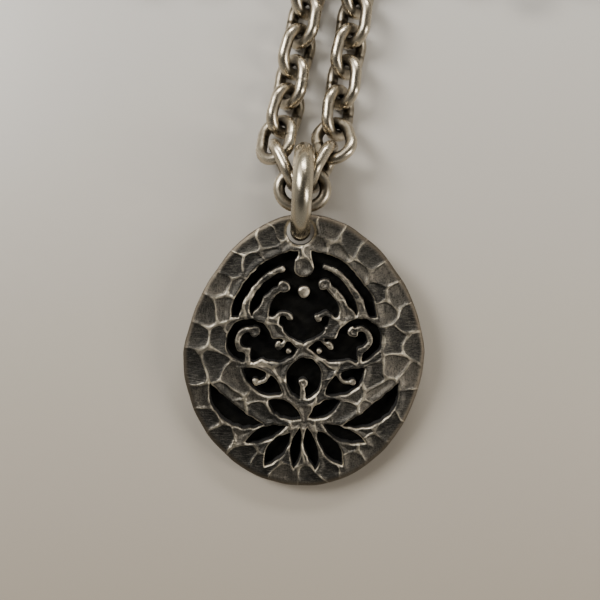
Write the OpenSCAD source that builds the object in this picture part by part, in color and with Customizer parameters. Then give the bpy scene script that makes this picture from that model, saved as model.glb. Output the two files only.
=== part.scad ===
// Oval pendant on a cable chain, laid face up with the clasp undone.
// The long axis of the pendant is +Y and the table is the plane z = 0.

/* [Pendant] */
// Width of the oval
pend_w = 30; // [24:0.5:36]
// Height of the oval
pend_h = 34.3; // [28:0.1:40]
// Thickness of the solid back plate
back_t = 1; // [0.8:0.1:1.2]
// Thickness of the pierced front plate
front_t = 1.6; // [1.2:0.1:1.8]
// How much narrower the top half of the oval is, as a share of its width
egg = 0.13; // [0:0.01:0.2]
// Hand-made skew of the oval to one side
skew = 0.6; // [0:0.1:1]
// Width of the soft bevel round the front edge
bevel = 0.45; // [0.2:0.05:0.8]

/* [Bail] */
// Radius of the hole that the bail passes through
hole_r = 1.7; // [1.6:0.05:1.8]
// Distance of the hole's centre from the pendant's top edge
hole_in = 2.15; // [2:0.05:2.3]
// Mean radius of the round bail
bail_r = 4.8; // [4.6:0.05:5]
// Diameter of the bail's wire
bail_wire = 2.5; // [2.3:0.1:2.6]
// Turn of the bail's plane away from the pendant's long axis, in degrees
bail_turn = 3; // [0:0.5:4]

/* [Chain] */
// Diameter of the chain's wire
wire = 1.5; // [1.4:0.05:1.55]
// Length of one oval link over its wire
link_l = 7.2; // [7.1:0.05:7.3]
// Width of one oval link over its wire
link_w = 5.7; // [5.6:0.05:5.8]
// Distance from link to link where the chain lies slack
pitch = 3.9; // [3.85:0.01:3.95]
// Turn of each link about the chain's own direction, in degrees
link_roll = 48; // [45:1:50]
// Links in each half of the chain
half_links = 43; // [40:1:43]
// Links in each length of coiled chain
run = 4; // [4:1:4]

/* [Clasp] */
// Thickness of the clasp's body
clasp_t = 2.6; // [2.4:0.1:2.8]
// Thickness of the clasp's lever
lever_t = 1; // [0.8:0.1:1.1]
// Diameter of the lever's pin
pin_d = 0.8; // [0.7:0.05:0.9]

/* [Hidden] */
$fn = 64;
eps = 0.02;

// where the pendant's centre lies in the row's frame
pend_x = -7.49;
pend_y = -33.6;
// the pendant leans on its bottom edge, and the bail holds its top edge up
tilt = 7.3;
pend_z = 3.55;
plate_t = back_t + front_t;
hole_y = pend_h / 2 - hole_in;
hole_x = -0.45;
bail_c = [-0.2, (hole_y + bail_r) * cos(tilt), bail_r + bail_wire / 2];

// the links' centreline is a stadium of two half circles and two straights
end_r = (link_w - wire) / 2;
end_x = (link_l - link_w) / 2;
rest_z = end_r * sin(link_roll) + wire / 2 + 0.01;

// the middle link lies flat inside the bail: [x, y, z, heading, pitch, roll]
CENTER = [-0.2, 20.05, 5.5, 0, 0, 0];
// the first three links of each half climb down from the middle link to the table
LEFT_TOP = [
    [-2.5, 23, 5.3, 115, -13, 90],
    [-3.45, 26.45, 3.6, 82, -24, -34],
    [-2.3, 30.25, 2.6, 74, -6, 46]
];
RIGHT_TOP = [
    [2.25, 22.85, 5.05, 61, -17, 76],
    [3.75, 26.3, 3.7, 102, -33, -12],
    [4.3, 30, 2.5, 84, 0, 51]
];
// from the fourth link each half runs straight, then winds into a flat coil:
// [start, heading, straight length, +1 for a left-hand coil, roll of the last link]
LEFT_RUN = [[-1.65, 33.95], 78.5, 29, 1, 30];
RIGHT_RUN = [[5, 33.95], 80.5, 34.5, -1, 48];
// the links that lie slack near the pendant don't quite line up
LOOSE = [3, -4, 2, -3, 2];
coil_r = 16.5;
coil_step = 2.9;

// direction of a heading in the plane
function along(a) = [cos(a), sin(a)];

// a point and heading on a coil of half circles, each one step smaller than the last
function coil(start, h, side, s, j = 0) =
    let (r = coil_r - coil_step * j, half = PI * r)
    s > half ? coil(start, h, side, s - half, j + 1)
    : let (
        n = side * along(h + 90),
        c = start + coil_r * n + (j % 2 == 1 ? coil_step : 0) * n,
        a = side * s / r * 180 / PI,
        q = h + 180 * j * side + a
    ) [c - side * r * along(q + 90), q];

// pose of link k of one half: [x, y, z, heading, pitch, roll]
function pose(top, lay, k) =
    k <= 3 ? top[k - 1]
    : let (
        s = (k - 4) * pitch,
        h = lay[1],
        roll = k == half_links ? lay[4] : link_roll * (k % 2 == 1 ? 1 : -1),
        straight = lay[0] + s * along(h),
        turn = k - 4 < len(LOOSE) ? LOOSE[k - 4] : 0,
        corner = lay[0] + lay[2] * along(h),
        bent = coil(corner, h, lay[3], s - lay[2])
    ) s < lay[2]
        ? [straight.x, straight.y, rest_z, h + turn, 0, roll]
        : [bent[0].x, bent[0].y, rest_z, bent[1], 0, roll];

SILVER = [0.72, 0.71, 0.68];
DARK = [0.3, 0.31, 0.33];
BLACK = [0.12, 0.12, 0.12];

// ---- pendant ----

// half width of the oval at angle a, before the skew
function oval(a, inset) =
    let (s = sin(a), w = pend_w / 2 * (1 - egg * max(0, s)))
    [(w - inset) * cos(a) + skew * s * cos(a) * cos(a), (pend_h / 2 - inset) * s];

module outline(inset = 0) {
    polygon([for (a = [0 : 3.75 : 356.25]) oval(a, inset)]);
}

// part of a ring between two angles
module sector(r0, r1, a0, a1) {
    far = r1 * 2;
    intersection() {
        difference() {
            circle(r1);
            circle(r0);
        }
        polygon([
            [0, 0],
            far * along(a0),
            far * along(a0 + (a1 - a0) / 3),
            far * along(a0 + (a1 - a0) * 2 / 3),
            far * along(a1)
        ]);
    }
}

module both_sides() {
    children();
    mirror([1, 0, 0]) children();
}

// pointed leaf between two tips, w wide in the middle
module leaf_shape(tip_a, tip_b, w) {
    span = tip_b - tip_a;
    r = (span * span / w + w) / 4;
    translate((tip_a + tip_b) / 2) rotate(atan2(span.y, span.x)) intersection() {
        translate([0, r - w / 2]) circle(r);
        translate([0, w / 2 - r]) circle(r);
    }
}

// round disc whose edge passes through two tips and stands sag out from their chord
module bow(tip_a, tip_b, sag) {
    span = tip_b - tip_a;
    r = (span * span / sag / 4 + sag) / 2;
    translate((tip_a + tip_b) / 2) rotate(atan2(span.y, span.x))
        translate([0, r - sag]) circle(r, $fn = 128);
}

// silver tendril: a curved bar with a ball at its end
module tendril(c, r, w, a0, a1, ball) {
    translate(c) {
        sector(r - w / 2, r + w / 2, min(a0, a1), max(a0, a1));
        translate(r * along(a1)) circle(ball);
    }
}

// the arch with its tongue, and three pairs of tendrils that stand in it
module arch_field() {
    difference() {
        union() {
            intersection() {
                translate([0, 3.7]) circle(9);
                translate([-10, 4.4]) square([20, 10]);
            }
            translate([0, 4.7]) circle(3.3);
            polygon([[-3, 3.4], [0, 0.9], [3, 3.4]]);
        }
        translate([-0.85, 11]) square([1.7, 3]);
        translate([0, 10.8]) circle(1.3);
        both_sides() {
            tendril([0, 3.7], 7.3, 0.6, 2, 68, 0.4);
            translate([7.2, 4.5]) circle(0.75);
            tendril([0, 3.9], 5.1, 0.65, 2, 60, 0.7);
            translate([5.3, 4.6]) circle(0.9);
            tendril([2.6, 3.9], 1, 0.55, -70, 150, 0.45);
        }
    }
}

// a round opening with a curl in it, and a leaf that runs in to the middle
module curl_field() {
    difference() {
        union() {
            translate([6.9, 1.5]) circle(2.8);
            leaf_shape([0.5, 0.5], [6.6, 0.2], 2.9);
        }
        tendril([6.9, 1.6], 1.35, 0.6, -90, 130, 0.6);
        translate([6.6, -1.6]) square([0.6, 2]);
        tendril([3.4, 2.1], 1.2, 0.45, 160, 262, 0.5);
    }
}

// the tulip in the middle: one upright leaf with a stem in it
module tulip_field() {
    difference() {
        leaf_shape([0, -0.6], [0, -6.1], 4.5);
        translate([-0.25, -6.5]) square([0.5, 2.6]);
        translate([0, -3.9]) circle(0.5);
    }
}

// leaves at each side of the tulip and along the rim
module side_leaves() {
    difference() {
        leaf_shape([2.7, -5.3], [7.7, -2.1], 2.8);
        tendril([5.6, -2.6], 1.1, 0.45, 160, 290, 0.4);
    }
    difference() {
        bow([4.9, -9.1], [11.7, -3.7], 2.8);
        bow([4.9, -9.1], [11.7, -3.7], 0.3);
    }
}

// fan of leaves under the tulip, as [inner tip, outer tip, width]
FAN = [
    [[0.45, -8.4], [4.5, -6], 2.1],
    [[2.3, -9.2], [7.6, -11.5], 1.9],
    [[1.8, -10], [4.9, -14.5], 2.2],
    [[0.5, -9.4], [1.5, -15], 1.6]
];

module openings() {
    arch_field();
    tulip_field();
    both_sides() {
        curl_field();
        side_leaves();
        for (leaf = FAN) leaf_shape(leaf[0], leaf[1], leaf[2]);
    }
}

// everything on the pendant is drawn flat and then laid in its leaning place
module lean() {
    translate([pend_x, pend_y, pend_z]) rotate([tilt, 0, 0])
        translate([0, 0, -plate_t / 2]) children();
}

module hole(z0, z1) {
    translate([hole_x, hole_y, z0 - 0.5]) cylinder(h = z1 - z0 + 1, r = hole_r);
}

module back_plate() {
    color(BLACK) lean() difference() {
        linear_extrude(back_t) outline();
        hole(0, back_t);
    }
}

module front_plate() {
    color(DARK) lean() difference() {
        union() {
            translate([0, 0, back_t]) linear_extrude(front_t - bevel) outline();
            translate([0, 0, plate_t - bevel - eps]) linear_extrude(bevel + eps)
                outline(bevel);
        }
        translate([0, 0, back_t - 0.5]) linear_extrude(front_t + 1) openings();
        hole(back_t, plate_t);
    }
}

// loose dots of silver fixed to the back plate inside the openings
module face_beads() {
    color(SILVER) lean() {
        translate([0, 7.6, back_t]) cylinder(h = front_t, r = 0.75);
        both_sides() translate([1.9, 0.2, back_t]) cylinder(h = front_t, r = 0.35);
    }
}

module bail_ring() {
    color(SILVER) translate([pend_x, pend_y, 0] + bail_c) rotate([0, 0, -bail_turn])
        rotate([0, 90, 0]) rotate_extrude() translate([bail_r, 0]) circle(bail_wire / 2);
}

// ---- chain ----

module oval_link() {
    for (s = [-1, 1]) {
        translate([s * end_x, 0, 0]) rotate(-90 * s)
            rotate_extrude(angle = 180) translate([end_r, 0]) circle(wire / 2);
        translate([-end_x, s * end_r, 0]) rotate([0, 90, 0])
            cylinder(h = 2 * end_x, r = wire / 2);
    }
}

module place(p) {
    translate([pend_x + p[0], pend_y + p[1], p[2]]) rotate([p[5], -p[4], p[3]])
        children();
}

module link(p) {
    color(SILVER) place(p) oval_link();
}

module left_link(k) {
    link(pose(LEFT_TOP, LEFT_RUN, k));
}

module right_link(k) {
    link(pose(RIGHT_TOP, RIGHT_RUN, k));
}

// run number n of coiled links starts after the eight links that move one by one
function run_links(n) = [for (k = [9 + run * (n - 1) : min(half_links, 8 + run * n)]) k];

module left_chain(n) {
    for (k = run_links(n)) left_link(k);
}

module right_chain(n) {
    for (k = run_links(n)) right_link(k);
}

// ---- clasp, which hangs on the left half ----

jump_r = 2.1;
jump_wire = 0.85;
end_ring_r = 2.4;
end_wire = 1.3;
// clearances: ring to link, lever to each wall of its slot, lever to pin
ring_gap = 0.12;
slot_gap = 0.12;
pin_gap = 0.05;
left_last = pose(LEFT_TOP, LEFT_RUN, half_links);
right_last = pose(RIGHT_TOP, RIGHT_RUN, half_links);

// a round ring hung on the far end of link p, turned square to it
function hung(p, r, w, z) =
    let (reach = link_l / 2 - wire - w / 2 - ring_gap + r, d = along(p[3]))
    [p[0] + reach * d.x, p[1] + reach * d.y, z, p[3], 0, p[5] + (p[5] > 0 ? -90 : 90)];

jump_at = hung(left_last, jump_r, jump_wire, rest_z);
end_at = hung(right_last, end_ring_r, end_wire, rest_z);

module round_ring(p, r, w) {
    color(SILVER) place(p) rotate_extrude() translate([r, 0]) circle(w / 2);
}

module jump_ring() {
    round_ring(jump_at, jump_r, jump_wire);
}

module end_ring() {
    round_ring(end_at, end_ring_r, end_wire);
}

// the clasp's own frame: the eye at the origin, the nose along +X, the lever on +Y
clasp_z = 1.75;
clasp_h = jump_at[3] + 83;
eye_r = 1.2;
eye_t = 0.9;
tail_r = 1.9;
pin_at = [3.6, 1];
claw_c = [8, 0];
// how far round the jump ring the eye hangs below the ring's centre
eye_side = (clasp_z - jump_at[2]) / sin(jump_at[5]);
clasp_eye = [jump_at[0], jump_at[1]]
    + sqrt(jump_r * jump_r - eye_side * eye_side) * along(jump_at[3])
    + eye_side * cos(jump_at[5]) * along(jump_at[3] + 90);

module in_clasp() {
    place([clasp_eye.x, clasp_eye.y, clasp_z, clasp_h, 0, 0]) children();
}

// a plate of the clasp, cut from z0 to z1 about its middle
module slab(z0, z1) {
    translate([0, 0, z0]) linear_extrude(z1 - z0) children();
}

module claw_outline() {
    difference() {
        union() {
            circle(tail_r);
            polygon([[0, -tail_r], [5, -2.7], [5, 2], [0, tail_r]]);
            translate(claw_c) circle(3.7);
        }
        circle(eye_r);
        translate(claw_c) circle(2.1);
        // the mouth that the lever closes
        translate([4.6, 0.6]) square([4.9, 4]);
    }
}

module clasp_body() {
    slot = lever_t + 2 * slot_gap;
    color(SILVER) in_clasp() difference() {
        union() {
            slab(-eye_t / 2, eye_t / 2) claw_outline();
            slab(-clasp_t / 2, clasp_t / 2) difference() {
                claw_outline();
                translate([-2, -2]) square([4, 4]);
            }
        }
        // slot for the lever and its spring
        translate([2, -0.6, -slot / 2]) cube([4.2, 5, slot]);
        translate([pin_at.x, pin_at.y, -clasp_t]) cylinder(h = 2 * clasp_t, r = pin_d / 2);
    }
}

module clasp_lever() {
    color(SILVER) in_clasp() slab(-lever_t / 2, lever_t / 2) difference() {
        union() {
            translate(pin_at) circle(0.85);
            polygon([[3.7, 0.75], [9.35, 2.2], [9.3, 2.9], [6, 2.6], [3.4, 1.7]]);
            polygon([[3, 1.4], [4, 1.7], [3.5, 3.3], [2.6, 3.1]]);
        }
        translate(pin_at) circle(pin_d / 2 + pin_gap);
    }
}

module clasp_pin() {
    color(SILVER) in_clasp() translate([pin_at.x, pin_at.y, -clasp_t / 2])
        cylinder(h = clasp_t, r = pin_d / 2);
}

// a bent leaf that lies in the bottom of the slot and pushes the lever shut
module clasp_spring() {
    color(SILVER) in_clasp() slab(-0.35, 0.35)
        polygon([[2.05, -0.55], [4.9, -0.55], [6, -0.1], [5.95, 0.1], [4.8, -0.33], [2.05, -0.33]]);
}

front_plate();
face_beads();
back_plate();
bail_ring();
link(CENTER);  // center_link
left_link(1);  // left_link_1
left_link(2);  // left_link_2
left_link(3);  // left_link_3
left_link(4);  // left_link_4
left_link(5);  // left_link_5
left_link(6);  // left_link_6
left_link(7);  // left_link_7
left_link(8);  // left_link_8
left_chain(1);  // left_chain_1
left_chain(2);  // left_chain_2
left_chain(3);  // left_chain_3
left_chain(4);  // left_chain_4
left_chain(5);  // left_chain_5
left_chain(6);  // left_chain_6
left_chain(7);  // left_chain_7
left_chain(8);  // left_chain_8
left_chain(9);  // left_chain_9
right_link(1);  // right_link_1
right_link(2);  // right_link_2
right_link(3);  // right_link_3
right_link(4);  // right_link_4
right_link(5);  // right_link_5
right_link(6);  // right_link_6
right_link(7);  // right_link_7
right_link(8);  // right_link_8
right_chain(1);  // right_chain_1
right_chain(2);  // right_chain_2
right_chain(3);  // right_chain_3
right_chain(4);  // right_chain_4
right_chain(5);  // right_chain_5
right_chain(6);  // right_chain_6
right_chain(7);  // right_chain_7
right_chain(8);  // right_chain_8
right_chain(9);  // right_chain_9
jump_ring();
clasp_body();
clasp_lever();
clasp_pin();
clasp_spring();
end_ring();
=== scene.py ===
import math

import bpy
import numpy as np
from mathutils import Matrix, Vector, noise


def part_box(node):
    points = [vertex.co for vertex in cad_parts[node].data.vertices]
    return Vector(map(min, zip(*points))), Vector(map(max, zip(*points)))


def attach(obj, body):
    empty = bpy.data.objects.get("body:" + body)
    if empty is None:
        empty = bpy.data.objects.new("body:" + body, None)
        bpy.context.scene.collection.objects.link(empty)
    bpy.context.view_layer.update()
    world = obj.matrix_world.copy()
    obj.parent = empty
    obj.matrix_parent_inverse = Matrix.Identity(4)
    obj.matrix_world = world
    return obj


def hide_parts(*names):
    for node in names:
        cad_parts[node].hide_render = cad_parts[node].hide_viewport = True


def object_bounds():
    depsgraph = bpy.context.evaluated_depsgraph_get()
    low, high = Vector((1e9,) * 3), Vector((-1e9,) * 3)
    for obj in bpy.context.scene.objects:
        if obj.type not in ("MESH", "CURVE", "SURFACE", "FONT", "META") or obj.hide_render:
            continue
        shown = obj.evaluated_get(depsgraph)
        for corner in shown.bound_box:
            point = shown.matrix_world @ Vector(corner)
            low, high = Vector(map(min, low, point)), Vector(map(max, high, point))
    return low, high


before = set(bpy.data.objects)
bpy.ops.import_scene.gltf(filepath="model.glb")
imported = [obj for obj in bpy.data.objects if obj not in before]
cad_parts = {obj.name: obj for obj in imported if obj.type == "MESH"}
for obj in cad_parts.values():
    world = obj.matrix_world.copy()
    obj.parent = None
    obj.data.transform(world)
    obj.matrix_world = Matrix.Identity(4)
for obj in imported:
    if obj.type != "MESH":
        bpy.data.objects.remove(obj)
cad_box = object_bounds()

MM = 0.001
RNG = np.random.default_rng(7)

# ---- measures of the pendant, in millimetres, as in the CAD part ----
PEND_W, PEND_H = 30.0, 34.3
BACK_T, FRONT_T = 1.0, 1.6
EGG, SKEW, TILT = 0.13, 0.6, math.radians(7.3)
HOLE, HOLE_R = (-0.45, 15.0), 1.7
WIRE_R = 0.75
# half of a link's straight side, and the radius of its round ends
LINK_STRAIGHT, LINK_BEND = 0.75, 2.1
BAIL_R, BAIL_WIRE_R = 4.8, 1.25
JUMP_R, JUMP_WIRE_R = 2.1, 0.425
END_R, END_WIRE_R = 2.4, 0.65

# mean radius of the oval, which turns a share of the way out into millimetres
MEAN_R = 16
# a point this close to an edge counts as on it
ON_EDGE = 1e-4
# radii of the soft corners where two shapes of the pattern meet
JOIN_SOFT, CUT_SOFT = 0.35, 0.25
# how many worn shapes the links share
LINK_SHAPES = 7
TABLE_GAP = 0.00002
CAMERA_AT = (-7.98, -27.18, 115)
FIELD_OF_VIEW = math.radians(37.2)
SENSOR = 36


# ---- small helpers ----

def smooth(lo, hi, v):
    t = np.clip((v - lo) / (hi - lo), 0, 1)
    return t * t * (3 - 2 * t)


def wander(x, y, size, seed):
    """Smooth random field of about -1 to 1 whose lumps are size mm across."""
    rng = np.random.default_rng(seed)
    total = np.zeros_like(x)
    for k in range(9):
        a = rng.uniform(0, 2 * math.pi)
        f = rng.uniform(0.6, 1.5) * math.pi / size
        total += np.sin(f * (x * math.cos(a) + y * math.sin(a)) + rng.uniform(0, 6.28))
    return total / 3.2


def soft_edge(distance, width, depth, power=2):
    """How far a rounded edge drops: depth at the edge, nothing from width inwards."""
    return depth * np.clip(1 - distance / width, 0, 1) ** power


def new_mesh(name, verts, faces, values):
    """A smooth mesh, with each of the named values stored on its points."""
    mesh = bpy.data.meshes.new(name)
    mesh.from_pydata([tuple(v) for v in verts], [], faces)
    for key, value in values.items():
        layer = mesh.attributes.new(key, "FLOAT", "POINT")
        layer.data.foreach_set("value", np.asarray(value, np.float32))
    mesh.shade_smooth()
    return mesh


def new_object(name, data):
    obj = bpy.data.objects.new(name, data)
    bpy.context.collection.objects.link(obj)
    return obj


def mesh_object(name, verts, faces, material, values):
    mesh = new_mesh(name, verts, faces, values)
    mesh.materials.append(material)
    return new_object(name, mesh)


def place(obj, body, slot, *nodes):
    """obj rides on its body and stands for those CAD nodes, which it hides; slot is not used."""
    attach(obj, body)
    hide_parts(*nodes)
    return obj


def loose_parts(node):
    """The vertices of each separate shell of a CAD node, in the row frame."""
    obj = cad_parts[node]
    mesh = obj.data
    co = np.zeros(len(mesh.vertices) * 3)
    mesh.vertices.foreach_get("co", co)
    co = co.reshape(-1, 3)
    # vertices that share a place count as one, so a split edge doesn't part a shell
    _, same = np.unique(np.round(co, 7), axis=0, return_inverse=True)
    same = same.reshape(-1)
    label = np.arange(same.max() + 1)
    edges = np.zeros(len(mesh.edges) * 2, int)
    mesh.edges.foreach_get("vertices", edges)
    edges = same[edges.reshape(-1, 2)]
    while True:
        low = np.minimum(label[edges[:, 0]], label[edges[:, 1]])
        after = label.copy()
        np.minimum.at(after, edges[:, 0], low)
        np.minimum.at(after, edges[:, 1], low)
        after = after[after]
        if (after == label).all():
            break
        label = after
    shell = label[same]
    return [co[shell == k] for k in np.unique(shell)]


def lie(points):
    """The matrix of a loop of wire: centre, long side on X, short side on Y, its axis on Z."""
    mean = points.mean(0)
    _, axes = np.linalg.eigh(np.cov((points - mean).T))
    axes = axes[:, ::-1]
    if np.linalg.det(axes) < 0:
        axes[:, 2] *= -1
    along = (points - mean) @ axes
    mean = mean + axes @ ((along.max(0) + along.min(0)) / 2)
    m = Matrix(axes.tolist()).to_4x4()
    m.translation = Vector(mean)
    return m


# ---- materials ----

def colour_ramp(tree, fac, stops):
    """A colour ramp on fac; each stop is its place and a colour or a grey level."""
    node = tree.nodes.new("ShaderNodeValToRGB")
    elements = node.color_ramp.elements
    while len(elements) < len(stops):
        elements.new(0.5)
    for element, (at, colour) in zip(elements, stops):
        element.position = at
        level = (colour,) * 3 if isinstance(colour, (int, float)) else colour
        element.color = (*level, 1)
    tree.links.new(fac, node.inputs["Fac"])
    return node.outputs["Color"]


class Nodes:
    """A material's node tree, with short ways to add and join nodes."""

    def __init__(self, name):
        self.material = bpy.data.materials.new(name)
        self.material.use_nodes = True
        self.tree = self.material.node_tree
        self.shader = self.tree.nodes["Principled BSDF"]

    def add(self, kind, **sockets):
        node = self.tree.nodes.new("ShaderNode" + kind)
        for key, value in sockets.items():
            self.put(node.inputs[key.replace("_", " ")], value)
        return node

    def put(self, socket, value):
        if isinstance(value, bpy.types.NodeSocket):
            self.tree.links.new(value, socket)
        else:
            socket.default_value = value

    def value(self, name):
        node = self.tree.nodes.new("ShaderNodeAttribute")
        node.attribute_name = name
        return node.outputs["Fac"]

    def coords(self, scale=(1, 1, 1), turn=0.0):
        """Object coordinates in millimetres, turned and stretched."""
        coord = self.tree.nodes.new("ShaderNodeTexCoord")
        mapping = self.tree.nodes.new("ShaderNodeMapping")
        mapping.inputs["Scale"].default_value = [1000 * s for s in scale]
        mapping.inputs["Rotation"].default_value = (0, 0, turn)
        self.tree.links.new(coord.outputs["Object"], mapping.inputs["Vector"])
        return mapping.outputs["Vector"]

    def noise(self, scale, detail, rough, stretch=(1, 1, 1), turn=0.0):
        node = self.add("TexNoise", Vector=self.coords(stretch, turn), Scale=scale, Detail=detail,
                        Roughness=rough)
        return node.outputs["Fac"]

    def ramp(self, fac, *stops):
        return colour_ramp(self.tree, fac, stops)

    def mix(self, fac, a, b):
        node = self.tree.nodes.new("ShaderNodeMix")
        node.data_type = "RGBA"
        for socket, value in ((node.inputs[0], fac), (node.inputs[6], a), (node.inputs[7], b)):
            if isinstance(value, tuple):
                value = (*value, 1)
            self.put(socket, value)
        return node.outputs[2]

    def math(self, kind, a, b):
        node = self.tree.nodes.new("ShaderNodeMath")
        node.operation = kind
        self.put(node.inputs[0], a)
        self.put(node.inputs[1], b)
        return node.outputs[0]

    def bump(self, height, strength, distance):
        node = self.add("Bump", Height=height, Strength=strength, Distance=distance)
        return node.outputs["Normal"]


def worn_silver(name, bright, dark, gloss, inner_shade=0.75):
    """Rubbed silver wire: bright outside, dark where it turns inwards as painted shade, with
    tarnish blotches and fine scratches.
    """
    n = Nodes(name)
    rnd = n.tree.nodes.new("ShaderNodeObjectInfo").outputs["Random"]
    blotch = n.noise(0.9, 5, 0.6)
    pits = n.noise(6, 3, 0.6)
    scratch = n.noise(2.2, 3, 0.7, (1, 9, 2), 0.5)
    # painted shade: the wire is darkened on the side that turns into its loop, where the links lie
    # against each other
    painted_inner_shade = n.math("MULTIPLY", n.value("inner"), inner_shade)
    # tarnish blotches, each wire's own random tone and the dark solder seam are real colour, added
    # to that painted shade
    dirt_and_shade = n.math("ADD", painted_inner_shade, n.math("MULTIPLY", n.math("SUBTRACT", blotch, 0.5), 1.3))
    dirt_and_shade = n.math("ADD", dirt_and_shade, n.math("MULTIPLY", n.math("SUBTRACT", rnd, 0.5), 0.25))
    dirt_and_shade = n.math("ADD", dirt_and_shade, n.math("MULTIPLY", n.value("seam"), 0.5))
    tone = n.ramp(dirt_and_shade, (0.0, bright), (0.35, tuple(c * 0.82 for c in bright)), (1.0, dark))
    n.put(n.shader.inputs["Base Color"], tone)
    n.put(n.shader.inputs["Metallic"], 1.0)
    rough = n.ramp(n.math("ADD", n.math("MULTIPLY", pits, 0.5), n.math("MULTIPLY", dirt_and_shade, 0.5)),
                   (0.1, gloss), (0.9, gloss + 0.28))
    n.put(n.shader.inputs["Roughness"], rough)
    height = n.math("ADD", n.math("MULTIPLY", pits, 0.6), n.math("MULTIPLY", scratch, 0.6))
    n.put(n.shader.inputs["Normal"], n.bump(height, 0.16, 0.00003))
    return n.material


def hammered_silver(name):
    """Oxidised face: dark scratched dimples, rubbed cream ridges, black walls, a brown edge."""
    n = Nodes(name)
    cell, ridge, depth = n.value("cell"), n.value("ridge"), n.value("depth")
    rim, blotch = n.value("rim"), n.noise(0.8, 5, 0.6)
    fine_a = n.noise(1.1, 5, 0.75, (1, 9, 1), 0.9)
    fine_b = n.noise(1.1, 5, 0.75, (9, 1, 1), 0.3)
    grain = n.noise(5, 4, 0.65)
    scratch = n.mix(n.math("GREATER_THAN", cell, 0.5), fine_a, fine_b)
    field = n.math("ADD", n.math("MULTIPLY", cell, 0.35), n.math("MULTIPLY", blotch, 0.65))
    dimple = n.ramp(field, (0.3, (0.026, 0.025, 0.023)), (0.5, (0.06, 0.056, 0.048)),
                    (0.75, (0.17, 0.15, 0.12)))
    dimple = n.mix(n.ramp(scratch, (0.5, 0.0), (0.68, 0.75)), dimple, (0.22, 0.2, 0.165))
    dimple = n.mix(n.ramp(grain, (0.5, 0.0), (0.62, 0.7)), dimple, (0.016, 0.016, 0.017))
    rubbed = n.mix(grain, (0.42, 0.36, 0.265), (0.86, 0.77, 0.6))
    patchy = n.noise(1.6, 3, 0.6)
    worn = n.math("MULTIPLY", ridge, n.math("ADD", n.math("MULTIPLY", patchy, 1.9), -0.05))
    tone = n.mix(n.ramp(worn, (0.2, 0.0), (0.85, 1.0)), dimple, rubbed)
    tone = n.mix(n.math("MULTIPLY", rim, 0.7), tone, (0.13, 0.105, 0.075))
    tone = n.mix(n.ramp(depth, (0.04, 0.0), (0.3, 1.0)), tone, (0.012, 0.011, 0.010))
    n.put(n.shader.inputs["Base Color"], tone)
    n.put(n.shader.inputs["Metallic"], n.ramp(depth, (0.1, 1.0), (0.5, 0.2)))
    rough = n.mix(n.ramp(worn, (0.1, 0.0), (0.6, 1.0)), n.ramp(grain, (0.3, 0.34), (0.7, 0.5)),
                  (0.3, 0.3, 0.3))
    n.put(n.shader.inputs["Roughness"], n.mix(n.ramp(depth, (0.05, 0.0), (0.3, 1.0)), rough,
                                              (0.75, 0.75, 0.75)))
    height = n.math("ADD", n.math("MULTIPLY", scratch, 0.9), n.math("MULTIPLY", grain, 0.5))
    n.put(n.shader.inputs["Normal"], n.bump(height, 0.55, 0.0001))
    return n.material


def black_silver(name):
    """Matt black plate with a paler rubbed rim."""
    n = Nodes(name)
    blotch, grain = n.noise(0.5, 5, 0.6), n.noise(7, 4, 0.65)
    tone = n.ramp(blotch, (0.35, (0.003, 0.003, 0.003)), (0.6, (0.008, 0.0075, 0.006)),
                  (0.8, (0.02, 0.018, 0.014)))
    tone = n.mix(n.value("rim"), tone, (0.22, 0.185, 0.14))
    n.put(n.shader.inputs["Base Color"], tone)
    n.put(n.shader.inputs["Metallic"], 0.9)
    n.put(n.shader.inputs["Roughness"], n.ramp(grain, (0.3, 0.5), (0.75, 0.75)))
    n.put(n.shader.inputs["Normal"], n.bump(n.math("ADD", grain, blotch), 0.5, 0.00008))
    return n.material


def table_top(name):
    """Pale, half-glossy table top, paler under the chain than in front of the pendant: a painted
    fall of light.
    """
    n = Nodes(name)
    cloud, fine = n.noise(0.004, 3, 0.5), n.noise(0.6, 3, 0.5)
    split = n.add("SeparateXYZ", Vector=n.coords())
    # painted light: the colour runs from dark and warm in front to pale behind, standing in for the
    # lamps' falloff across the table
    up = n.math("ADD", n.math("MULTIPLY", split.outputs["Y"], 0.01), 0.75)
    tone = n.ramp(up, (0.0, (0.3, 0.25, 0.19)), (0.45, (0.41, 0.37, 0.31)),
                  (1.0, (0.56, 0.545, 0.515)))
    n.put(n.shader.inputs["Base Color"],
          n.mix(n.math("MULTIPLY", cloud, 0.3), tone, (0.44, 0.41, 0.365)))
    n.put(n.shader.inputs["Roughness"], n.ramp(fine, (0.3, 0.3), (0.7, 0.36)))
    return n.material


FACE = hammered_silver("oxidised_hammered_silver")
FLOOR_OF_FACE = black_silver("blackened_silver")
# the last number for the chain and the bail is how strongly painted shade darkens the inner side of
# the wire; the clasp keeps the default
CHAIN = worn_silver("worn_chain_silver", (0.5, 0.435, 0.33), (0.042, 0.033, 0.022), 0.2, 1.0)
BAIL = worn_silver("worn_bail_silver", (0.46, 0.405, 0.305), (0.08, 0.068, 0.048), 0.18, 0.5)
CLASP = worn_silver("worn_clasp_silver", (0.54, 0.485, 0.39), (0.09, 0.076, 0.056), 0.22)


# ---- the pendant's pattern, with the CAD part's measures ----
# each shape gives its signed distance in mm, below zero inside the shape

def disc(x, y, cx, cy, r):
    return np.hypot(x - cx, y - cy) - r


def leaf(x, y, tip_a, tip_b, w):
    """Pointed leaf between two tips, w wide."""
    a, b = np.array(tip_a), np.array(tip_b)
    span = b - a
    r = (span @ span / w + w) / 4
    side = np.array([-span[1], span[0]]) / math.sqrt(span @ span) * (r - w / 2)
    mid = (a + b) / 2
    return np.maximum(disc(x, y, *(mid + side), r), disc(x, y, *(mid - side), r))


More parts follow.
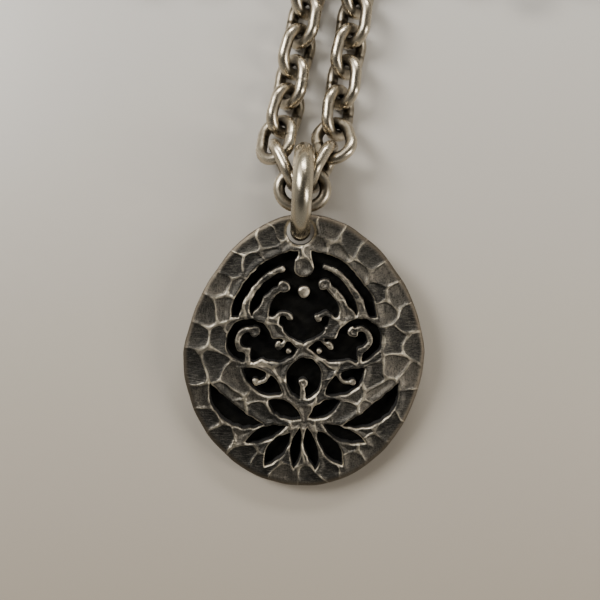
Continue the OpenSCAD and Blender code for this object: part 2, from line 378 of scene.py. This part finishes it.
def bow(x, y, tip_a, tip_b, sag):
    """Disc whose edge passes through two tips and stands sag out from their chord."""
    a, b = np.array(tip_a), np.array(tip_b)
    span = b - a
    r = (span @ span / sag / 4 + sag) / 2
    side = np.array([-span[1], span[0]]) / math.sqrt(span @ span)
    return disc(x, y, *((a + b) / 2 + side * (r - sag)), r)


def tendril(x, y, c, r, w, a0, a1, ball, foot=1.0):
    """Curved bar with a ball at its end; foot says how much wider it starts."""
    a0, a1 = math.radians(a0), math.radians(a1)
    mid, half = (a0 + a1) / 2, abs(a1 - a0) / 2
    turn = np.arctan2(y - c[1], x - c[0]) - mid
    turn = (turn + math.pi) % (2 * math.pi) - math.pi
    near = np.clip(turn, -half, half)
    px, py = c[0] + r * np.cos(mid + near), c[1] + r * np.sin(mid + near)
    from_foot = (near + half) / (2 * half) if a1 > a0 else (half - near) / (2 * half)
    width = w / 2 * (foot + (1 - foot) * from_foot)
    bar = np.hypot(x - px, y - py) - width
    return np.minimum(bar, disc(x, y, c[0] + r * math.cos(a1), c[1] + r * math.sin(a1), ball))


def box(x, y, x0, y0, x1, y1):
    return np.maximum(np.abs(x - (x0 + x1) / 2) - (x1 - x0) / 2,
                      np.abs(y - (y0 + y1) / 2) - (y1 - y0) / 2)


def join(a, b, k=JOIN_SOFT):
    """Both shapes, with a soft corner k mm across."""
    h = np.clip(0.5 + 0.5 * (b - a) / k, 0, 1)
    return b * (1 - h) + a * h - k * h * (1 - h)


def cut(a, b):
    """The first shape without the second."""
    return -join(-a, b, CUT_SOFT)


# fan of leaves under the tulip, each as its inner tip, outer tip and width
FAN = (((0.45, -8.4), (4.5, -6), 2.1), ((2.3, -9.2), (7.6, -11.5), 1.9),
       ((1.8, -10), (4.9, -14.5), 2.2), ((0.5, -9.4), (1.5, -15), 1.6))
# loose dots of silver inside the openings, each as its place and radius
BEADS = ((0, 7.6, 0.75), (1.9, 0.2, 0.35), (-1.9, 0.2, 0.35))


def pattern(x, y):
    """Distance to the openings' edge. One half is drawn, and a slow wander makes it hand-cut."""
    x, y = (x + 0.13 * wander(x, y, 3.1, 1) + 0.055 * wander(x, y, 0.9, 2),
            y + 0.13 * wander(x, y, 3.3, 3) + 0.055 * wander(x, y, 0.8, 4))
    x = np.abs(x)
    arch = np.maximum(disc(x, y, 0, 3.7, 9), 4.4 - y)
    arch = join(arch, disc(x, y, 0, 4.7, 3.3))
    arch = join(arch, np.maximum(y - 3.6, (2.5 * x - 3 * (y - 0.9)) / 3.9))
    arch = cut(arch, join(box(x, y, -0.85, 10.9, 0.85, 14), disc(x, y, 0, 10.8, 1.3)))
    arch = cut(arch, join(tendril(x, y, (0, 3.7), 7.3, 0.55, 2, 68, 0.28, 1.9),
                          disc(x, y, 7.2, 4.5, 0.75)))
    arch = cut(arch, join(tendril(x, y, (0, 3.9), 5.1, 0.6, 2, 60, 0.68, 2.0),
                          disc(x, y, 5.3, 4.6, 0.9)))
    arch = cut(arch, tendril(x, y, (2.6, 3.9), 1, 0.5, -70, 150, 0.42))
    curl = join(disc(x, y, 6.9, 1.5, 2.8), leaf(x, y, (0.5, 0.5), (6.6, 0.2), 2.9))
    curl = cut(curl, join(tendril(x, y, (6.9, 1.6), 1.35, 0.6, -90, 130, 0.6),
                          box(x, y, 6.6, -1.6, 7.2, 0.4)))
    curl = cut(curl, tendril(x, y, (3.4, 2.1), 1.2, 0.4, 160, 262, 0.46))
    tulip = cut(leaf(x, y, (0, -0.6), (0, -6.1), 4.5),
                join(box(x, y, -0.25, -6.5, 0.25, -3.9), disc(x, y, 0, -3.9, 0.5)))
    side = cut(leaf(x, y, (2.7, -5.3), (7.7, -2.1), 2.8),
               tendril(x, y, (5.6, -2.6), 1.1, 0.4, 160, 290, 0.38))
    wing = np.maximum(bow(x, y, (4.9, -9.1), (11.7, -3.7), 2.8),
                      -bow(x, y, (4.9, -9.1), (11.7, -3.7), 0.3))
    d = np.minimum.reduce([arch, curl, tulip, side, wing])
    for tip_a, tip_b, w in FAN:
        d = np.minimum(d, leaf(x, y, tip_a, tip_b, w))
    return d


# ---- the pendant's outline and its hammered surface ----

def oval(a, share):
    """Point of the outline at angle a, moved towards the middle by 1 - share."""
    s, c = np.sin(a), np.cos(a)
    half = PEND_W / 2 * (1 - EGG * np.maximum(0, s))
    edge = 1 - 0.006 * (1 + wander(15 * c, 15 * s, 2.4, 5)) / 2
    return (half * c + SKEW * s * c * c) * share * edge, PEND_H / 2 * s * share * edge


def hammer_marks():
    """Centres of the dimples: two rows round the rim, then a loose field inside."""
    marks = []
    for inset, spacing, lag in ((1.3, 3.25, 0.0), (4.0, 3.1, 0.5)):
        count = round(math.pi * (PEND_W + PEND_H - 4 * inset) / 2 / spacing)
        a = (np.arange(count) + lag + RNG.uniform(-0.2, 0.2, count)) * 2 * math.pi / count
        x, y = oval(a, 1 - inset / MEAN_R)
        marks += list(zip(x + RNG.uniform(-0.6, 0.6, count), y + RNG.uniform(-0.6, 0.6, count)))
    for gx in np.arange(-7.8, 7.9, 2.6):
        for gy in np.arange(-10.4, 10.5, 2.6):
            if math.hypot(gx / 8.6, gy / 10.5) < 1:
                marks.append((gx + RNG.uniform(-0.7, 0.7), gy + RNG.uniform(-0.7, 0.7)))
    return np.array(marks)


MARKS = hammer_marks()
TONES = RNG.uniform(0, 1, len(MARKS))


def hammered(x, y):
    """How far below the top each point lies, its ridge's strength, and its dimple's tone."""
    x, y = x + 0.22 * wander(x, y, 1.7, 8), y + 0.22 * wander(x, y, 1.9, 9)
    drop, ridge, tone = np.zeros_like(x), np.zeros_like(x), np.zeros_like(x)
    # in parts, so that the table of distances stays small
    for part in np.array_split(np.arange(x.size), 40):
        d = np.hypot(x[part, None] - MARKS[:, 0], y[part, None] - MARKS[:, 1])
        three = np.argpartition(d, 2, axis=1)[:, :3]
        rows = np.arange(len(part))[:, None]
        three = three[rows, np.argsort(d[rows, three], axis=1)]
        d1, d2, d3 = d[rows, three].T
        near = three[:, 0]
        apart = np.hypot(*(MARKS[near] - MARKS[three[:, 1]]).T)
        border = (d2 * d2 - d1 * d1) / (2 * apart)
        # where three dimples meet, the ridge widens and rounds their corners
        border = border - 0.22 * np.exp(-((d3 - d1) / 0.75) ** 2)
        drop[part] = 0.1 * smooth(0.02, 0.3, border) + 0.2 * (1 - np.clip(d1 / 2.2, 0, 1) ** 2)
        ridge[part] = np.exp(-(np.maximum(border - 0.03, 0) / 0.08) ** 2)
        tone[part] = TONES[near]
    return drop, ridge, tone


def lean(points):
    """From the pendant's own plane, z = 0 under its back, to its leaning place in metres."""
    lo, hi = (np.array(v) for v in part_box("back_plate"))
    up = np.array([0, -math.sin(TILT), math.cos(TILT)])
    along = np.array([0, math.cos(TILT), math.sin(TILT)])
    base = (lo + hi) / 2 - up * BACK_T / 2 * MM
    p = np.asarray(points) * MM
    return base + p[:, :1] * [1, 0, 0] + p[:, 1:2] * along + p[:, 2:] * up


def polar(turns, rings):
    """Points of the plate ring by ring from the middle out, and the quads between them."""
    a = np.arange(turns) * 2 * math.pi / turns
    share = np.linspace(0.004, 1, rings)
    x, y = oval(a[None, :], share[:, None])
    i = (np.arange(rings - 1) * turns)[:, None] + np.arange(turns)
    j = (np.arange(rings - 1) * turns)[:, None] + (np.arange(turns) + 1) % turns
    quads = np.stack([i, i + turns, j + turns, j], -1).reshape(-1, 4)
    return x.ravel(), y.ravel(), np.repeat(share, turns), quads


def snap_to_hole(x, y, reach):
    """Moves the points next to the bail's hole onto its edge."""
    dx, dy = x - HOLE[0], y - HOLE[1]
    d = np.maximum(np.hypot(dx, dy), 1e-6)
    on = np.abs(d - HOLE_R) < reach
    x[on] = HOLE[0] + dx[on] / d[on] * HOLE_R
    y[on] = HOLE[1] + dy[on] / d[on] * HOLE_R
    return np.hypot(x - HOLE[0], y - HOLE[1]) - HOLE_R


def wall_round_hole(verts, faces, values, z0, z1):
    """Adds the hole's own wall."""
    steps, start = 72, len(verts)
    a = np.arange(steps) * 2 * math.pi / steps
    for z in (z0, z1):
        ring = np.stack([HOLE[0] + HOLE_R * np.cos(a), HOLE[1] + HOLE_R * np.sin(a),
                         np.full(steps, z)], 1)
        verts = np.vstack([verts, ring])
    k = np.arange(steps)
    after = (k + 1) % steps
    wall = np.stack([start + k, start + after, start + steps + after, start + steps + k], 1)
    faces = faces + wall.tolist()
    values = {key: np.concatenate([v, np.full(2 * steps, 0.15 if key == "ridge" else 0.0)])
              for key, v in values.items()}
    return verts, faces, values


def wall_round_rim(verts, faces, values, turns):
    """Adds the outer edge, from the last ring of points down to the back plate."""
    start, last, rows = len(verts), verts[-turns:], []
    for level in (0.55, 0.0):
        row = last.copy()
        row[:, 2] = BACK_T + (last[:, 2] - BACK_T) * level
        row[:, :2] *= 1.002
        rows.append(row)
    verts = np.vstack([verts] + rows)
    k, after = np.arange(turns), (np.arange(turns) + 1) % turns
    for r in range(len(rows)):
        above = start - turns + r * turns
        faces += np.stack([above + k, above + turns + k, above + turns + after, above + after],
                          1).tolist()
    values = {key: np.concatenate([v] + [v[-turns:]] * len(rows)) for key, v in values.items()}
    return verts, faces, values


def widest(x, y, d):
    """About how wide the silver is at each point, from the greatest distance close by."""
    most, reach, ways = d, 0.4, 8
    for k in range(ways):
        a = k * 2 * math.pi / ways
        most = np.maximum(most, pattern(x + reach * math.cos(a), y + reach * math.sin(a)))
    return most


def snap_to_pattern(x, y, share, reach):
    """Moves the points next to an opening onto its edge, and gives each point's distance."""
    d = pattern(x, y)
    step = 0.01
    gx, gy = (pattern(x + step, y) - d) / step, (pattern(x, y + step) - d) / step
    on = (np.abs(d) < reach) & (share < 0.97)
    x[on] -= (d * gx)[on]
    y[on] -= (d * gy)[on]
    return np.where(on, 0, d)


def top_of_silver(d, inset, hole, drop):
    """Height of the dimpled top, with its edges rounded at openings, rim and hole."""
    # a bar between two openings is too thin for whole dimples
    body = smooth(0.1, 1.0, np.minimum(d, inset))
    top = BACK_T + FRONT_T - drop * (0.25 + 0.75 * body)
    top -= soft_edge(d, 0.3, 0.09) * (d >= 0)
    top -= soft_edge(inset, 0.9, 0.4, 1.7)
    return top - soft_edge(hole, 0.4, 0.12)


def rubbed_bright(x, y, d, hole, ridge):
    """How bright each point is rubbed: ridges, lips of openings, thin bars, the hole's edge."""
    lip = np.exp(-(np.maximum(d, 0) / 0.14) ** 2) * (d > -ON_EDGE)
    thin = (1 - smooth(0.25, 0.6, widest(x, y, d))) * (d > 0)
    patches = np.clip(0.62 + 0.3 * wander(x, y, 2.6, 10) + 0.2 * wander(x, y, 0.9, 11), 0, 1)
    bright = np.maximum(ridge * 0.9, np.maximum(lip, 0.6 * thin)) * patches
    return np.maximum(bright, np.exp(-(hole / 0.3) ** 2))


def front_plate():
    """Pierced, hammered plate with the walls of its openings, its hole and its outer edge."""
    turns, rings = ((1100, 190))
    x, y, share, quads = polar(turns, rings)
    reach = 0.45 * PEND_H / 2 / rings
    d = snap_to_pattern(x, y, share, reach)
    hole = snap_to_hole(x, y, reach)
    drop, ridge, tone = hammered(x, y)
    inset = (1 - share) * MEAN_R
    inside = d < -ON_EDGE
    z = np.where(inside, BACK_T, top_of_silver(d, inset, hole, drop))
    values = {"ridge": rubbed_bright(x, y, d, hole, ridge), "cell": tone,
              "depth": inside.astype(float), "rim": 1 - smooth(0.15, 0.75, inset)}
    gone = inside[quads].all(1) | (hole[quads] < ON_EDGE).all(1)
    verts, faces = np.stack([x, y, z], 1), quads[~gone].tolist()
    verts, faces, values = wall_round_rim(verts, faces, values, turns)
    verts, faces, values = wall_round_hole(verts, faces, values, BACK_T, BACK_T + FRONT_T - 0.25)
    return mesh_object("front_plate_face", lean(verts), faces, FACE, values)


def back_plate():
    """Blackened plate with a pitted top, and a flat underside with a rounded edge."""
    turns, rings = 420, 60
    x, y, share, quads = polar(turns, rings)
    hole = snap_to_hole(x, y, 0.3)
    keep = quads[~(hole[quads] < ON_EDGE).all(1)]
    pits = 0.03 * wander(x, y, 1.3, 21) + 0.02 * wander(x, y, 0.6, 22)
    top = np.stack([x, y, BACK_T - 0.03 + pits * (hole > 0.3) * (share < 0.95)], 1)
    under = np.stack([x, y, soft_edge((1 - share) * MEAN_R, 0.5, 0.2)], 1)
    verts = np.vstack([top, under])
    n = len(top)
    faces = keep.tolist() + (keep[:, ::-1] + n).tolist()
    k, after = np.arange(turns), (np.arange(turns) + 1) % turns
    a = n - turns
    faces += np.stack([a + k, a + n + k, a + n + after, a + after], 1).tolist()
    rim = np.concatenate([smooth(0.93, 1, share), smooth(0.96, 1, share) * 0.8])
    verts, faces, values = wall_round_hole(verts, faces, {"rim": rim}, 0, BACK_T)
    return mesh_object("back_plate_floor", lean(verts), faces, FLOOR_OF_FACE, values)


def bead(k, x, y, r):
    """Dot of silver that stands on the black floor, its top beaten a little flat."""
    turns = 40
    profile = [(0.02, 0), (0.5, -0.01), (0.8, -0.06), (0.94, -0.15), (1, -0.32), (1, -FRONT_T)]
    a = np.arange(turns) * 2 * math.pi / turns
    verts = []
    for share, z in profile:
        rr = r * share * (1 + 0.04 * np.sin(3 * a + k))
        px, py = x + rr * np.cos(a), y + rr * np.sin(a)
        verts.append(np.stack([px, py, BACK_T + FRONT_T - 0.12 + z + 0.03 * wander(px, py, 0.7, 30)
                               * (z > -1)], 1))
    rows, faces = len(profile), []
    for i in range(rows - 1):
        for j in range(turns):
            m = (j + 1) % turns
            faces.append((i * turns + j, (i + 1) * turns + j, (i + 1) * turns + m, i * turns + m))
    faces.append(tuple(range(turns)))
    level = np.repeat([p[0] for p in profile], turns)
    low = np.repeat([p[1] for p in profile], turns)
    values = {"ridge": 0.35 + 0.5 * level, "cell": np.full(len(level), 0.6),
              "depth": (low < -1).astype(float), "rim": np.zeros(len(level))}
    return mesh_object(f"bead_{k + 1}", lean(np.vstack(verts)), faces, FACE, values)


# ---- loops of wire: links, bail and rings ----

def along_loop(s, straight, bend):
    """The wire's centre and the way outwards at length s along a loop, long side on X."""
    half_turn = math.pi * bend
    half = half_turn + 2 * straight
    q, flip = s % half, -1 if s >= half else 1
    if q < half_turn:
        a = q / bend - math.pi / 2
        centre = Vector((straight + bend * math.cos(a), bend * math.sin(a), 0))
        out = Vector((math.cos(a), math.sin(a), 0))
    else:
        centre = Vector((straight - (q - half_turn), bend, 0))
        out = Vector((0, 1, 0))
    return centre * flip, out * flip


def wire_loop(name, straight, bend, wire, seed, dent, steps, sides):
    """Closed loop of round wire with dents, and a soldered seam in one long side."""
    half = math.pi * bend + 2 * straight
    seam_at = half + math.pi * bend + straight
    shift = Vector((seed * 3.7, seed * 1.9, seed * 5.3))
    verts, inner, seam, faces = [], [], [], []
    for i in range(steps):
        s = i / steps * 2 * half
        centre, out = along_loop(s, straight, bend)
        gap = abs((s - seam_at + half) % (2 * half) - half)
        groove = math.exp(-(gap / 0.16) ** 2)
        for j in range(sides):
            t = 2 * math.pi * j / sides
            ray = out * math.cos(t) + Vector((0, 0, math.sin(t)))
            p = centre + ray * wire
            lump = noise.noise(p * 0.4 + shift)
            small = noise.noise(p * 1.1 - shift)
            cut_in = dent * (0.8 * max(0, lump + 0.15) + 0.25 * max(0, small)) + 0.04 * groove
            verts.append((centre + ray * wire * (1 - min(cut_in, 0.2))) * MM)
            # how far this point faces into the loop; the silver materials darken by it as painted
            # shade
            inner.append((1 - math.cos(t)) / 2)
            seam.append(groove)
            m, n = (j + 1) % sides, (i + 1) % steps
            faces.append((i * sides + j, n * sides + j, n * sides + m, i * sides + m))
    return new_mesh(name, verts, faces, {"inner": inner, "seam": seam})


def hang(name, mesh, material, matrix, body, slot, node):
    """Lays a loop of wire in its place, on its body."""
    if not mesh.materials:
        mesh.materials.append(material)
    obj = new_object(name, mesh)
    obj.matrix_world = matrix
    return place(obj, body, slot, node)


def links():
    """Every link of the chain: a few worn shapes, each laid where the CAD has a link."""
    steps, sides = ((112, 24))
    shapes = [wire_loop(f"link_shape_{k}", LINK_STRAIGHT, LINK_BEND, WIRE_R, k + 1, 0.07, steps,
                        sides) for k in range(LINK_SHAPES)]
    nodes = [n for n in sorted(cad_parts) if n == "center_link" or "_link_" in n
             or "_chain_" in n]
    for node in nodes:
        shells = loose_parts(node)
        for k, shell in enumerate(shells):
            name = f"{node}_wire" if len(shells) == 1 else f"{node}_wire_{k + 1}"
            matrix = lie(shell)
            if RNG.uniform() < 0.5:
                matrix = matrix @ Matrix.Rotation(math.pi, 4, "Z")
            hang(name, shapes[RNG.integers(len(shapes))], CHAIN, matrix, node, "chain_silver", node)


def rings():
    """The bail, and the round rings at the chain's two ends."""
    bail = wire_loop("bail_shape", 0, BAIL_R, BAIL_WIRE_R, 31, 0.06, 180, 44)
    hang("bail_wire", bail, BAIL, lie(loose_parts("bail_ring")[0]), "bail", "bail_silver",
         "bail_ring")
    for node, r, wire, seed in (("jump_ring", JUMP_R, JUMP_WIRE_R, 42.1),
                                ("end_ring", END_R, END_WIRE_R, 42.4)):
        shape = wire_loop(node + "_shape", 0, r, wire, seed, 0.05, 90, 20)
        hang(node + "_wire", shape, CLASP, lie(loose_parts(node)[0]), node, "chain_silver", node)


def clasp():
    """The clasp's CAD parts stay, with softened edges and a worn finish."""
    for node, width in (("clasp_body", 0.22), ("clasp_lever", 0.14), ("clasp_pin", 0.08),
                        ("clasp_spring", 0.04)):
        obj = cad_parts[node]
        obj.data.materials.clear()
        obj.data.materials.append(CLASP)
        bevel = obj.modifiers.new("soft edges", "BEVEL")
        bevel.width = width * MM
        bevel.segments = 3
        bevel.limit_method = "ANGLE"
        bevel.angle_limit = math.radians(35)
        bevel.harden_normals = True


place(front_plate(), "pendant", "dark_silver", "front_plate")
place(back_plate(), "pendant", "black_silver", "back_plate")
for number, (bx, by, br) in enumerate(BEADS):
    place(bead(number, bx, by, br), "pendant", "worn_silver", "face_beads")
links()
rings()
clasp()

# ---- table, light and camera ----

lo, hi = (Vector(v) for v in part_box("front_plate"))
pendant = (lo + hi) / 2
table_z = cad_box[0][2] - TABLE_GAP


def table():
    """A wide flat table just below the chain."""
    size, cells = 4.0, 24
    grid = np.linspace(-size, size, cells + 1)
    verts = [(x, y, table_z) for y in grid for x in grid]
    row = cells + 1
    faces = [(i * row + j, i * row + j + 1, (i + 1) * row + j + 1, (i + 1) * row + j)
             for i in range(cells) for j in range(cells)]
    obj = mesh_object("table", verts, faces, table_top("pale_table"), {})


def light(name, at, size, power, colour):
    """A soft lamp that points at the pendant."""
    lamp = bpy.data.lights.new(name, "AREA")
    lamp.shape = "RECTANGLE"
    lamp.size, lamp.size_y = size
    lamp.energy = power
    lamp.color = colour
    obj = new_object(name, lamp)
    obj.location = at
    ray = Vector((pendant.x, pendant.y, 0)) - Vector(at)
    obj.rotation_euler = ray.to_track_quat("-Z", "Y").to_euler()


def room_light(tree):
    """A dim room: darker straight above, where the camera is, and paler low down."""
    coord = tree.nodes.new("ShaderNodeTexCoord")
    split = tree.nodes.new("ShaderNodeSeparateXYZ")
    tree.links.new(coord.outputs["Generated"], split.inputs[0])
    levels = ((0.0, 0.46), (0.45, 0.34), (0.75, 0.09), (1.0, 0.05))
    stops = [(at, (level, level * 0.98, level * 0.92)) for at, level in levels]
    tone = colour_ramp(tree, split.outputs["Z"], stops)
    tree.links.new(tone, tree.nodes["Background"].inputs["Color"])


table()
light("key_left", (-0.26, 0.14, 0.3), (0.1, 0.2), 1.7, (1.0, 0.99, 0.97))
light("top_back", (0.04, 0.36, 0.24), (0.24, 0.07), 1.3, (1.0, 0.97, 0.92))
light("fill_right", (0.3, -0.1, 0.24), (0.07, 0.2), 0.8, (1.0, 0.95, 0.88))
sun = bpy.data.lights.new("soft_sky", "SUN")
sun.energy, sun.angle = 0.75, math.radians(50)
sun.color = (1.0, 0.98, 0.94)
sky = new_object("soft_sky", sun)
sky.rotation_euler = (math.radians(-32), math.radians(-38), 0)
world = bpy.data.worlds.new("room")
world.use_nodes = True
room_light(world.node_tree)
bpy.context.scene.world = world

camera = bpy.data.cameras.new("camera")
camera.sensor_width = SENSOR
camera.lens = SENSOR / 2 / math.tan(FIELD_OF_VIEW / 2)
camera.clip_start = 0.005
eye = new_object("camera", camera)
eye.location = [v * MM for v in CAMERA_AT]
bpy.context.scene.camera = eye
